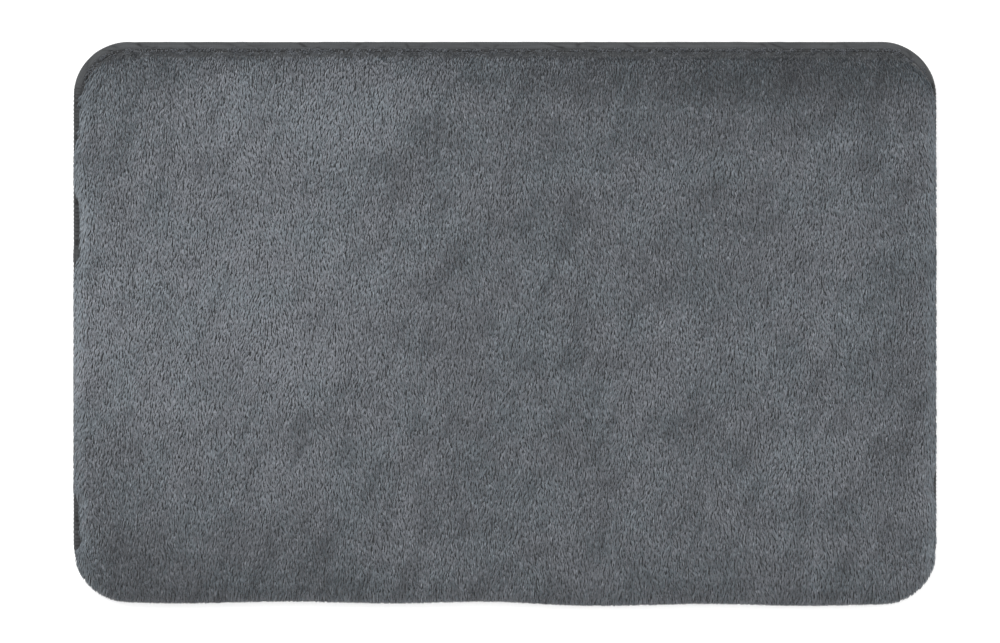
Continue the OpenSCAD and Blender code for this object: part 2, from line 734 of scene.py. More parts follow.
def plant(
    name: str,
    stock: list[bpy.types.Object],
    places: np.ndarray,
    turns: np.ndarray,
    sizes: np.ndarray,
    kinds: np.ndarray,
) -> bpy.types.Object:
    """Set many small copies of stock pieces at given places, as one mesh.

    Args:
        name: Name of the new object.
        stock: The pieces to copy, which stay out of the scene.
        places: Where each copy goes, (n, 3).
        turns: XYZ Euler angles of each copy, (n, 3).
        sizes: Scale of each copy, (n, 3).
        kinds: Which stock piece each copy is, (n,).

    Returns:
        The object, at the origin.
    """
    points = bpy.data.meshes.new(name + "_points")
    points.vertices.add(len(places))
    points.vertices.foreach_set("co", places.astype(np.float32).ravel())
    for label, values in (("turn", turns), ("size", sizes)):
        attribute = points.attributes.new(label, "FLOAT_VECTOR", "POINT")
        attribute.data.foreach_set("vector", values.astype(np.float32).ravel())
    kind = points.attributes.new("kind", "INT", "POINT")
    kind.data.foreach_set("value", kinds.astype(np.int32))
    shelf = bpy.data.collections.new(name + "_stock")
    for index, piece in enumerate(stock):
        piece.name = f"{name}_stock_{index:03d}"
        shelf.objects.link(piece)

    tree = bpy.data.node_groups.new(name + "_planting", "GeometryNodeTree")
    tree.interface.new_socket("Geometry", in_out="INPUT", socket_type="NodeSocketGeometry")
    tree.interface.new_socket("Geometry", in_out="OUTPUT", socket_type="NodeSocketGeometry")
    nodes, link = tree.nodes, tree.links.new
    entry, leave = nodes.new("NodeGroupInput"), nodes.new("NodeGroupOutput")
    bank = nodes.new("GeometryNodeCollectionInfo")
    bank.inputs["Collection"].default_value = shelf
    bank.inputs["Separate Children"].default_value = True
    bank.inputs["Reset Children"].default_value = True
    copies = nodes.new("GeometryNodeInstanceOnPoints")
    copies.inputs["Pick Instance"].default_value = True
    real = nodes.new("GeometryNodeRealizeInstances")
    link(entry.outputs[0], copies.inputs["Points"])
    link(bank.outputs[0], copies.inputs["Instance"])
    for label, form, socket in (
        ("kind", "INT", "Instance Index"),
        ("turn", "FLOAT_VECTOR", "Rotation"),
        ("size", "FLOAT_VECTOR", "Scale"),
    ):
        named = nodes.new("GeometryNodeInputNamedAttribute")
        named.data_type = form
        named.inputs["Name"].default_value = label
        link(named.outputs["Attribute"], copies.inputs[socket])
    link(copies.outputs[0], real.inputs[0])
    link(real.outputs[0], leave.inputs[0])

    carrier = bpy.data.objects.new(name + "_carrier", points)
    bpy.context.scene.collection.objects.link(carrier)
    carrier.modifiers.new("planting", "NODES").node_group = tree
    depsgraph = bpy.context.evaluated_depsgraph_get()
    mesh = bpy.data.meshes.new_from_object(carrier.evaluated_get(depsgraph))
    mesh.name = name
    for attribute in [a for a in mesh.attributes if a.name in ("kind", "turn", "size")]:
        mesh.attributes.remove(attribute)
    bpy.data.objects.remove(carrier)
    bpy.data.collections.remove(shelf)
    bpy.data.node_groups.remove(tree)
    made = bpy.data.objects.new(name, mesh)
    bpy.context.scene.collection.objects.link(made)
    return made


def euler_of(east: np.ndarray, north: np.ndarray, up: np.ndarray) -> np.ndarray:
    """Turn rows of axes into XYZ Euler angles.

    Args:
        east: Where each local X axis points, (n, 3).
        north: Where each local Y axis points, (n, 3).
        up: Where each local Z axis points, (n, 3).

    Returns:
        The angles, (n, 3).
    """
    return np.stack(
        [
            np.arctan2(north[:, 2], up[:, 2]),
            -np.arcsin(np.clip(east[:, 2], -1, 1)),
            np.arctan2(east[:, 1], east[:, 0]),
        ],
        axis=1,
    )


# ---------------------------------------------------------------- fur pile


@dataclass(frozen=True)
class LockShape:
    """One lock of fibres, for a length of 1.

    Args:
        stations: Share of the length, way forward, rise and half width, root to tip.
        sway: How far the tip bends to one side.
        thickness: Half thickness at the root.
    """

    stations: tuple[tuple[float, float, float, float], ...]
    sway: float = 0.0
    thickness: float = 0.055

    def build(self, material: bpy.types.Material) -> bpy.types.Object:
        """Model the lock, growing from the origin towards -Y.

        Args:
            material: Its fibre shade.

        Returns:
            The lock, outside any collection.
        """
        bm = bmesh.new()
        bmesh.ops.create_cone(bm, cap_ends=True, segments=3, radius1=1, radius2=0, depth=1)
        bmesh.ops.translate(bm, verts=bm.verts, vec=(0, 0, 0.5))
        shares, forwards, rises, halves = (np.array(column) for column in zip(*self.stations))
        cut_across(bm, tuple(shares[1:-1]))
        bmesh.ops.remove_doubles(bm, verts=bm.verts, dist=1e-4)
        for vert in bm.verts:
            share = vert.co.z
            side = Vector((vert.co.x, vert.co.y))
            side = side.normalized() if side.length > 1e-3 else Vector((0, 0))
            vert.co = Vector(
                (
                    side.x * np.interp(share, shares, halves) + self.sway * share * share,
                    -np.interp(share, shares, forwards),
                    np.interp(share, shares, rises) + side.y * self.thickness * (1 - share**3),
                )
            )
        smooth_faces(bm)
        return loose("lock", bm, material)


@dataclass(frozen=True)
class LockStock:
    """Every shape of lock in every shade.

    Args:
        shapes: The shapes.
        shades: The shades' materials.
    """

    shapes: list[LockShape]
    shades: list[bpy.types.Material]

    def pieces(self) -> list[bpy.types.Object]:
        """Model each shape in each shade, shape by shape."""
        return [shape.build(shade) for shape in self.shapes for shade in self.shades]

    def pick(self, rng: np.random.Generator, shade: np.ndarray) -> np.ndarray:
        """Return which of the pieces each lock is, by its shade and a shape left to chance."""
        return rng.integers(0, len(self.shapes), len(shade)) * len(self.shades) + shade


@dataclass(frozen=True)
class Brushed:
    """A patch of painted light (tone above 0) or painted shade (below 0), where the nap lies another way and
    catches the light differently.

    Args:
        x: X of the middle.
        y: Y of the middle.
        reach_x: How far it reaches along X.
        reach_y: How far it reaches along Y.
        tone: Change of tone in the middle, above 0 painted light, below 0 painted shade.
    """

    x: float
    y: float
    reach_x: float
    reach_y: float
    tone: float

    def at(self, x: np.ndarray, y: np.ndarray) -> np.ndarray:
        """Return the change of tone at points."""
        away = np.hypot((x - self.x) / self.reach_x, (y - self.y) / self.reach_y)
        return self.tone * (1 - smoothstep(away, 0.35, 1.35))


@dataclass(frozen=True)
class Parted:
    """A stretch of a short side where the fur has drawn back and the tape shows.

    Args:
        side: -1 for the -X side, 1 for the +X side.
        low: Where it starts along Y.
        high: Where it ends along Y.
        depth: How far the fur has drawn back.
        ease: How far its ends taper.
    """

    side: int
    low: float
    high: float
    depth: float
    ease: float = 8 * MM

    def at(self, x: np.ndarray, y: np.ndarray) -> np.ndarray:
        """Find how far the fur has drawn back.

        Args:
            x: X of the points.
            y: Y of the points.

        Returns:
            The distances.
        """
        start = smoothstep(y, self.low - self.ease, self.low + self.ease)
        stop = smoothstep(y, self.high - self.ease, self.high + self.ease)
        return np.where(np.sign(x) == self.side, self.depth * (start - stop), 0)


class Waver(Enum):
    """Seeded patterns in the fur: the number of each, and the size of its cells in mm along X and Y."""

    SHAG = (0, 5, 9)
    COMBING = (1, 38, 60)
    LOCK_LEAN = (2, 7, 12)
    WIDE_TONE = (3, 80, 52)
    NEAR_TONE = (4, 27, 21)
    RAGGED = (5, 6, math.inf)
    TEAL = (6, 33, 33)
    SWELL = (7, 34, 26)
    TORN = (8, math.inf, 4)
    DRAGGED = (9, 13, 34)
    SEAM_EDGE = (41, 7, math.inf)
    CLUMP = (42, 3.6, 3)
    TANGLE = (43, 5, 5)
    SHADE_BLOTCH = (44, 5.5, 3.4)


@dataclass(frozen=True)
class FurPile:
    """The combed pile: an undercoat that fills its depth, and the locks whose tips show.

    Args:
        mat: Outline of the bound mat.
        lap_z: Height where the fur laps over the tape.
        top_z: Height of the tips.
        parting_inset: How far the fur starts inside the mat's edge at +Y.
        flank_inset: The same at the two short sides.
        hem_overhang: How far the undercoat hangs over the edge at -Y.
        hem_y: Y that the tips at the hem are trimmed to.
        flank_proud: How far past the short sides the tips may stand.
        tip_depth: Height of the tips over the undercoat.
        parting_roll: How far in from the parting the undercoat still rises.
        flank_roll: The same from the short sides.
        hem_roll: The same from the hem.
        shoulder: How far the far corners are drawn back, on the -X side and the +X side.
        shoulder_y: Y between which that sets in.
        ripple: Height of the hem's waver.
        ripple_wave: Length of one wave of it.
        ripple_x: X of one of its lowest points.
        droop: How much lower the hem hangs on the +X side.
        droop_x: X between which that sets in.
        droop_y: How far to -Y both set in.
        lock_length: Middle length of a lock.
        lock_width: Middle width of a lock.
        root_depth: How deep the roots stand in the undercoat.
        step_x: Distance from lock to lock along X.
        step_y: Distance from row to row of locks.
        stray_share: Share of the locks that stray over the ragged parting.
        bands: Number of pieces that the locks are split into.
        shade_count: Number of shades of the lit nap in each hue.
        deep_shades: Number of darker shades below those, used mostly for the painted shade at the parting and
            in the tangled locks.
        darkest: Display colour of the darkest lit shade.
        lightest: Display colour of the lightest shade.
        teal_shift: What the cooler hue adds to a display colour.
        seed: Where the random patterns start.
        parted: Where the tape shows along the short sides.
        nap_shading: Patches of painted light and shade on the nap, in metres from the middle.
    """

    mat: RoundRect
    lap_z: float
    top_z: float
    parting_inset: float = 10.4 * MM
    flank_inset: float = 0.9 * MM
    hem_overhang: float = 5.0 * MM
    hem_y: float = -292.3 * MM
    flank_proud: float = 0.7 * MM
    tip_depth: float = 3.4 * MM
    parting_roll: float = 26 * MM
    flank_roll: float = 14 * MM
    hem_roll: float = 15 * MM
    shoulder: tuple[float, float] = (7.0 * MM, 0.8 * MM)
    shoulder_y: tuple[float, float] = (0.165, 0.215)
    ripple: float = 0.95 * MM
    ripple_wave: float = 0.218
    ripple_x: float = 0.1
    droop: float = 2.6 * MM
    droop_x: tuple[float, float] = (-0.04, 0.08)
    droop_y: tuple[float, float] = (0.1, 0.26)
    lock_length: float = 7.0 * MM
    lock_width: float = 1.5 * MM
    root_depth: float = 0.6 * MM
    step_x: float = 1.7 * MM
    step_y: float = 2.2 * MM
    stray_share: float = 0.1
    bands: int = 8
    shade_count: int = 8
    deep_shades: int = 5
    darkest: Colour = (75.5, 79.5, 85.5)
    lightest: Colour = (130, 134, 140.7)
    teal_shift: Colour = (-3, 0.5, 0.5)
    seed: int = 11
    parted: tuple[Parted, ...] = (
        Parted(-1, 62 * MM, 134 * MM, 6.6 * MM, 14 * MM),
        Parted(-1, -234 * MM, -180 * MM, 6.0 * MM),
        Parted(-1, -246 * MM, -220 * MM, 2.2 * MM),
        Parted(1, -178 * MM, -156 * MM, 3.5 * MM),
        Parted(1, -240 * MM, -228 * MM, 2.5 * MM),
    )
    nap_shading: tuple[Brushed, ...] = (
        Brushed(-0.300, 0.045, 0.200, 0.200, 0.22),
        Brushed(-0.440, 0.020, 0.070, 0.120, 0.17),
        Brushed(-0.210, 0.220, 0.150, 0.055, 0.26),
        Brushed(0.140, 0.212, 0.230, 0.050, -0.14),
        Brushed(0.220, 0.268, 0.290, 0.036, -0.40),
        Brushed(-0.360, 0.270, 0.080, 0.026, -0.16),
        Brushed(-0.265, 0.000, 0.130, 0.120, 0.10),
        Brushed(0.228, 0.110, 0.060, 0.110, -0.16),
        Brushed(0.330, 0.080, 0.050, 0.110, 0.10),
        Brushed(0.420, 0.030, 0.050, 0.230, -0.10),
        Brushed(0.060, -0.160, 0.130, 0.090, -0.10),
        Brushed(-0.300, -0.245, 0.190, 0.055, -0.20),
        Brushed(-0.040, -0.150, 0.060, 0.150, -0.08),
        Brushed(0.045, -0.010, 0.050, 0.090, -0.07),
        Brushed(0.150, -0.262, 0.330, 0.028, -0.12),
        Brushed(0.360, 0.262, 0.160, 0.050, -0.24),
        Brushed(0.225, 0.200, 0.060, 0.045, 0.14),
        Brushed(-0.395, -0.252, 0.060, 0.045, -0.14),
        Brushed(-0.432, -0.165, 0.040, 0.045, -0.12),
        Brushed(-0.338, -0.100, 0.050, 0.040, 0.10),
        Brushed(0.130, -0.100, 0.050, 0.050, 0.12),
        Brushed(0.040, 0.150, 0.060, 0.050, -0.10),
        Brushed(-0.340, 0.020, 0.140, 0.050, 0.07),
        Brushed(0.225, -0.100, 0.045, 0.075, -0.11),
        Brushed(0.320, -0.130, 0.045, 0.060, 0.12),
        Brushed(-0.150, 0.212, 0.050, 0.040, 0.12),
        Brushed(-0.432, 0.150, 0.035, 0.050, -0.08),
    )

    @property
    def far_y(self) -> float:
        """Y of the bound mat's edge at +Y."""
        return self.mat.centre_y + self.mat.width / 2

    @property
    def bed(self) -> RoundRect:
        """Outline of the undercoat, which the locks stand on.

        Returns:
            The outline, past the mat's own edge at -Y and inside it elsewhere.
        """
        high = self.far_y - self.parting_inset
        low = self.mat.centre_y - self.mat.width / 2 - self.hem_overhang
        length, radius = self.mat.length - 2 * self.flank_inset, self.mat.radius - self.flank_inset
        return RoundRect(length, high - low, radius, (high + low) / 2)

    def waver(self, pattern: Waver, x: np.ndarray, y: np.ndarray) -> np.ndarray:
        """Return a pattern's values at points, from -1 to 1."""
        number, cell_x, cell_y = pattern.value
        return lattice_noise(self.seed + number, x / (cell_x * MM), y / (cell_y * MM))

    def edge_shares(self, x: np.ndarray, y: np.ndarray) -> tuple[np.ndarray, np.ndarray, np.ndarray]:
        """Return how much the nearest edge is parting, hem and flank, each from 0 to 1."""
        out_x, out_y = self.bed.outward(x, y)
        return np.maximum(out_y, 0) ** 2, np.maximum(-out_y, 0) ** 2, out_x**2

    def drawn_back(self, x: np.ndarray, y: np.ndarray) -> np.ndarray:
        """Find how much further in than the bed's outline the fur starts.

        Args:
            x: X of the points.
            y: Y of the points.

        Returns:
            The distances, which matter at the short sides and the far corners.
        """
        out_x, _ = self.bed.outward(x, y)
        shoulder = np.where(x < 0, *self.shoulder) * smoothstep(y, *self.shoulder_y)
        gaps = sum(part.at(x, y) for part in self.parted)
        return np.abs(out_x) ** 1.5 * (shoulder + gaps)

    def sag(self, x: np.ndarray, y: np.ndarray) -> np.ndarray:
        """Return how far the hem hangs lower at points, which dies out towards +Y."""
        ripple = self.ripple * np.cos((x - self.ripple_x) * math.tau / self.ripple_wave)
        return (self.droop * smoothstep(x, *self.droop_x) + ripple) * smoothstep(-y, *self.droop_y)

    def depth_in(self, x: np.ndarray, y: np.ndarray) -> np.ndarray:
        """Return how far points lie inside the fur's own edge."""
        return self.bed.inside_by(x, y) - self.drawn_back(x, y)

    def height(self, x: np.ndarray, y: np.ndarray) -> np.ndarray:
        """Find the height of the undercoat.

        Args:
            x: X of the points.
            y: Y of the points.

        Returns:
            Their heights, which fall to the tape at the edges.
        """
        parting, hem, flank = self.edge_shares(x, y)
        roll = parting * self.parting_roll + hem * self.hem_roll + flank * self.flank_roll
        share = np.clip(self.depth_in(x, y) / roll, 0, 1)
        dome = np.sqrt(np.maximum(1 - (1 - share) ** 2, 0))
        rise = dome + (1 - (1 - share) ** 1.7 - dome) * parting
        swell = 0.35 * MM * self.waver(Waver.SWELL, x, y)
        ceiling = self.top_z - self.tip_depth + swell * share
        return self.lap_z + (ceiling - self.lap_z) * rise

    def surface_up(self, x: np.ndarray, y: np.ndarray, nudge: float = 0.5 * MM) -> np.ndarray:
        """Find which way the undercoat's surface faces.

        Args:
            x: X of the points.
            y: Y of the points.
            nudge: How far to either side its slope is taken.

        Returns:
            Vectors of length 1, (n, 3).
        """
        slope_x = (self.height(x + nudge, y) - self.height(x - nudge, y)) / (2 * nudge)
        slope_y = (self.height(x, y + nudge) - self.height(x, y - nudge)) / (2 * nudge)
        return unit(np.stack([-slope_x, -slope_y, np.ones(len(x))], axis=1))

    def undercoat(self, finish: UndercoatFinish, cell: float = 3.6 * MM) -> bpy.types.Object:
        """Model the undercoat as a closed cushion with a shaggy top.

        Args:
            finish: Its finish.
            cell: Size of its faces.

        Returns:
            The undercoat.
        """
        bed = self.bed
        bm = bmesh.new()
        columns, rows = round(bed.length / cell), round(bed.width / cell)
        bmesh.ops.create_grid(bm, x_segments=columns, y_segments=rows, size=0.5)
        bmesh.ops.scale(bm, vec=(bed.length, bed.width, 1), verts=bm.verts)
        bmesh.ops.translate(bm, vec=(0, bed.centre_y, 0), verts=bm.verts)
        places = np.array([v.co for v in bm.verts])
        x, y = places[:, 0], places[:, 1]
        outside = np.minimum(bed.inside_by(x, y), 0)
        across, up = (np.maximum(offset, 0) for offset in bed.corner_offsets(x, y))
        reach = np.maximum(np.hypot(across, up), 1e-9)
        x = x + np.sign(x) * across / reach * outside
        y = y + np.sign(y - bed.centre_y) * up / reach * outside
        out_x, out_y = bed.outward(x, y)
        drawn = self.drawn_back(x, y) * (1 - smoothstep(bed.inside_by(x, y), 0, 40 * MM))
        x, y = x - out_x * drawn, y - out_y * drawn
        shag = self.waver(Waver.SHAG, x, y) * 0.5 * MM
        z = self.height(x, y) + shag * np.clip(self.depth_in(x, y) / (10 * MM), 0, 1)
        for vert, place in zip(bm.verts, zip(x, y - self.sag(x, y), z)):
            vert.co = place
        bmesh.ops.remove_doubles(bm, verts=bm.verts, dist=0.3 * MM)
        bmesh.ops.dissolve_degenerate(bm, edges=bm.edges, dist=0.1 * MM)
        rim = [e for e in bm.edges if e.is_boundary]
        skirt = bmesh.ops.extrude_edge_only(bm, edges=rim)["geom"]
        for vert in (g for g in skirt if isinstance(g, bmesh.types.BMVert)):
            vert.co.z = self.lap_z - 0.5 * MM
        bmesh.ops.contextual_create(bm, geom=[e for e in bm.edges if e.is_boundary])
        smooth_faces(bm)
        return finished("fur_undercoat", bm, finish.material())

    def lock_stock(self) -> LockStock:
        """Make the shapes and the shades that locks come in.

        Returns:
            The stock, its slate shades before its teal ones.
        """
        shapes = [
            LockShape(((0, 0, 0, 0.3), (0.45, 0.4, 0.26, 0.5), (1, 0.95, 0.3, 0)), 0.1),
            LockShape(((0, 0, 0, 0.3), (0.5, 0.44, 0.2, 0.5), (1, 0.97, 0.24, 0)), -0.12),
            LockShape(((0, 0, 0, 0.3), (0.4, 0.34, 0.24, 0.45), (1, 0.9, 0.36, 0)), 0.03),
        ]
        dark, light = np.array(self.darkest), np.array(self.lightest)
        shades = []
        for hue, shift in (("slate", (0, 0, 0)), ("teal", self.teal_shift)):
            for index in range(-self.deep_shades, self.shade_count):
                display = dark + (light - dark) * index / (self.shade_count - 1) + np.array(shift)
                name = f"pile_{hue}_{index + self.deep_shades + 1}"
                shades.append(FibreShade(name, linear(*display)).material())
        return LockStock(shapes, shades)

    def shade_of(self, tone: np.ndarray) -> np.ndarray:
        """Return which slate shade each tone takes, counted from the darkest."""
        steps = np.floor(tone * self.shade_count).astype(int)
        return np.clip(steps, -self.deep_shades, self.shade_count - 1) + self.deep_shades

    def tone(self, x: np.ndarray, y: np.ndarray) -> np.ndarray:
        """Find the tone of the nap before chance has its part.

        Args:
            x: X of the points.
            y: Y of the points.

        Returns:
            The tones, 0 at the darkest lit shade and 1 at the lightest.
        """
        # Painted light and shade: the nap shading patches lighten or darken the tone where the nap lies
        # another way.
        tone = 0.5 + sum(patch.at(x, y) for patch in self.nap_shading)
        tone += 0.08 * self.waver(Waver.WIDE_TONE, x, y)
        tone += 0.10 * self.waver(Waver.NEAR_TONE, x, y)
        tone -= 0.17 * smoothstep(self.waver(Waver.DRAGGED, x - 0.45 * y, y), 0.15, 0.6)
        return tone + 0.03

    def tangle_light_and_shade(self, x: np.ndarray, y: np.ndarray) -> np.ndarray:
        """Return painted light and shade in the tangles the seam has pinched, -1 shade to 1 light."""
        return np.clip(2.4 * self.waver(Waver.SHADE_BLOTCH, x, y), -1, 1)

    def trim(self, roots: np.ndarray, tips: np.ndarray) -> np.ndarray:
        """Find what is left of the locks when their tips are trimmed to one line round the mat.

        Args:
            roots: Where the locks start, (n, 3).
            tips: Where they would end, (n, 3).

        Returns:
            The share of each lock's length, a quarter at the least.
        """
        length, width = self.mat.length + 2 * self.flank_proud, self.far_y - self.hem_y
        line = RoundRect(length, width, self.mat.radius, (self.far_y + self.hem_y) / 2)
        root_room, tip_room = (
            line.inside_by(end[:, 0], end[:, 1] + self.sag(end[:, 0], end[:, 1])) for end in (roots, tips)
        )
        cut = np.where(tip_room < 0, root_room / np.maximum(root_room - tip_room, 1e-9), 1)
        return np.clip(cut, 0.25, 1)

    def lock_roots(self, rng: np.random.Generator) -> tuple[np.ndarray, np.ndarray]:
        """Spread the roots of the locks over the bed in jittered rows.

        Args:
            rng: Where chance comes from.

        Returns:
            X and Y of the roots, before the hem sags.
        """
        bed = self.bed
        columns = np.arange(-bed.length / 2, bed.length / 2, self.step_x)
        rows = np.arange(-bed.width / 2, bed.width / 2, self.step_y) + bed.centre_y
        x, y = grid_over(columns, rows)
        x = x + rng.uniform(-0.5, 0.5, len(x)) * self.step_x
        y = y + rng.uniform(-0.5, 0.5, len(y)) * self.step_y
        parting, _, _ = self.edge_shares(x, y)
        ragged = 2.6 * MM + 1.8 * MM * self.waver(Waver.RAGGED, x, y)
        stray = rng.uniform(0, 1, len(x)) < self.stray_share
        start = 0.3 * MM + parting * np.where(stray, 0, ragged)
        torn = 1.1 * MM * self.waver(Waver.TORN, x, y)
        start += np.clip(self.drawn_back(x, y) / (4 * MM), 0, 1) * torn
        kept = self.depth_in(x, y) > start
        return x[kept], y[kept]

    def combed(
        self, rng: np.random.Generator, x: np.ndarray, y: np.ndarray, flank: np.ndarray, calm: np.ndarray
    ) -> tuple[np.ndarray, np.ndarray]:
        """Comb the locks towards -Y, with a lean, a tilt and a roll of their own.

        Args:
            rng: Where chance comes from.
            x: X of the roots.
            y: Y of the roots.
            flank: How much each stands at a short side.
            calm: How freely chance acts on each.

        Returns:
            Which way each lock grows and which way its top faces, each (n, 3).
        """
        count = len(x)
        out_x, _ = self.bed.outward(x, y)
        up = self.surface_up(x, y)
        lean = 0.14 * self.waver(Waver.COMBING, x, y)
        lean += 0.20 * self.waver(Waver.LOCK_LEAN, x, y) * calm
        lean += rng.normal(0, 0.09, count) * calm
        heading = np.stack([np.sin(lean) + 0.16 * out_x * flank, -np.cos(lean), np.zeros(count)], axis=1)
        forward = unit(heading - (heading * up).sum(1)[:, None] * up)
        forward, up = turned(forward, up, np.clip(rng.normal(0, 0.11, count), -0.2, 0.2) * calm)
        roll = rng.normal(0, 0.25, count) * calm
        up, _ = turned(up, np.cross(-forward, up), roll)
        return forward, up

    def locks(self, stock: LockStock) -> list[bpy.types.Object]:
        """Model the locks of fibre that cover the pile, in bands from -Y to +Y.

        Args:
            stock: What they are made of.

        Returns:
            One object for each band.
        """
        rng = np.random.default_rng(self.seed)
        x, y = self.lock_roots(rng)
        count = len(x)
        z = self.height(x, y)
        inside = self.depth_in(x, y)
        parting, hem, flank = self.edge_shares(x, y)
        flank *= 1 - smoothstep(inside, 4 * MM, 16 * MM)
        parting *= 1 - smoothstep(inside, 1.4 * MM, 6.8 * MM)
        hem *= 1 - smoothstep(inside, 0, 38 * MM)
        edge = np.maximum(flank, parting)
        calm = 1 - 0.75 * flank - 0.65 * parting * (1 - flank)
        forward, up = self.combed(rng, x, y, flank, calm)
        turns = euler_of(np.cross(-forward, up), -forward, up)
        length = self.lock_length * rng.uniform(0.8, 1.2, count) * (1 + 0.35 * edge)
        width = self.lock_width * rng.uniform(0.75, 1.25, count) * (1 + 0.3 * flank)
        y = y - self.sag(x, y)
        places = np.stack([x, y, z - self.root_depth], axis=1)
        length *= self.trim(places, places + (forward * 0.95 + up * 0.3) * length[:, None])
        sizes = np.stack([width, length, length * (1 - 0.3 * edge)], axis=1)
        # Painted light and shade: a highlight along the short sides, stronger on the -X side, shade at the
        # parting and at the hem, and blotches of light and shade in the parting's tangles.
        tone = self.tone(x, y) + flank * np.where(x < 0, 0.17, 0.04) - 1.1 * parting - 0.34 * hem
        tone += rng.normal(0, 0.2, count) * calm + 0.5 * self.tangle_light_and_shade(x, y) * parting
        shade = self.shade_of(tone)
        teal = 0.45 * self.waver(Waver.TEAL, x, y) + 0.5 * flank + rng.normal(0, 0.25, count)
        shade += np.where(teal > 0.1, self.shade_count + self.deep_shades, 0)
        kinds = stock.pick(rng, shade)
        limits = np.linspace(y.min(), y.max() + MM, self.bands + 1)
        band = np.searchsorted(limits, y, side="right") - 1
        made = []
        for index in range(self.bands):
            here = band == index
            name = f"fur_band_{index + 1}"
            made.append(plant(name, stock.pieces(), places[here], turns[here], sizes[here], kinds[here]))
        return made

    def scruff(self, stock: LockStock, step: float = 1.15 * MM, low: float = 0.16) -> bpy.types.Object:
        """Model the short tangled locks that the seam has caught along the +Y side.

        Args:
            stock: What they are made of.
            step: Distance between the locks.
            low: Y where they start on the corners.

        Returns:
            The tangled locks.
        """
        rng = np.random.default_rng(self.seed + 40)
        half = self.mat.length / 2
        x, y = grid_over(np.arange(-half, half, step), np.arange(low, self.far_y, step))
        x = x + rng.uniform(-0.6, 0.6, len(x)) * step
        y = y + rng.uniform(-0.6, 0.6, len(y)) * step
        inside = self.mat.inside_by(x, y)
        _, out_y = self.mat.outward(x, y)
        edge = 6.7 * MM + 1.5 * MM * self.waver(Waver.SEAM_EDGE, x, y)
        edge = np.maximum(edge * np.where(x > 0, smoothstep(out_y, 0.3, 0.8), 1), 4.4 * MM)
        reach = 6.6 * MM * smoothstep(out_y, 0.1, 0.7)
        clump = self.waver(Waver.CLUMP, x, y)
        kept = (inside > edge) & (inside < edge + reach) & (clump > rng.uniform(-0.8, 0.8, len(x)))
        x, y, inside, clump = x[kept], y[kept], inside[kept], clump[kept]
        count = len(x)
        z = np.maximum(self.height(x, y), self.lap_z - 0.2 * MM)
        angle = 1.1 * self.waver(Waver.TANGLE, x, y) + rng.normal(0, 0.6, count)
        rising = np.clip(rng.normal(0.25, 0.3, count), -0.3, 0.9)
        flat = np.stack([np.sin(angle), -np.cos(angle), np.zeros(count)], axis=1)
        forward, up = turned(flat, np.tile([0.0, 0.0, 1.0], (count, 1)), rising)
        turns = euler_of(np.cross(-forward, up), -forward, up)
        length = rng.uniform(2.6, 4.6, count) * MM
        width = rng.uniform(1.1, 1.6, count) * MM
        # Painted shade: the tangled locks take mostly the deep shades, darker farther in from the seam, with
        # blotches of painted light and shade.
        deep = smoothstep(inside, 8.2 * MM, 10.5 * MM)
        tone = -0.10 + 0.12 * clump + (0.6 * self.tangle_light_and_shade(x, y) - 0.34) * deep + rng.normal(0, 0.1, count)
        kinds = stock.pick(rng, self.shade_of(tone))
        places = np.stack([x, y, z - 0.4 * MM], axis=1)
        sizes = np.stack([width, length, length], axis=1)
        return plant("fur_scruff", stock.pieces(), places, turns, sizes, kinds)

    def build(self) -> list[bpy.types.Object]:
        """Model the whole pile and hang it on the frame.

        Returns:
            The undercoat, the bands of locks and the tangled locks.
        """
        stock = self.lock_stock()
        pieces = [self.undercoat(UndercoatFinish()), *self.locks(stock), self.scruff(stock)]
        for piece in pieces:
            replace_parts(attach(piece, BODY), "fur_pile")
        return pieces


# ---------------------------------------------------------------- edge tape and its seams


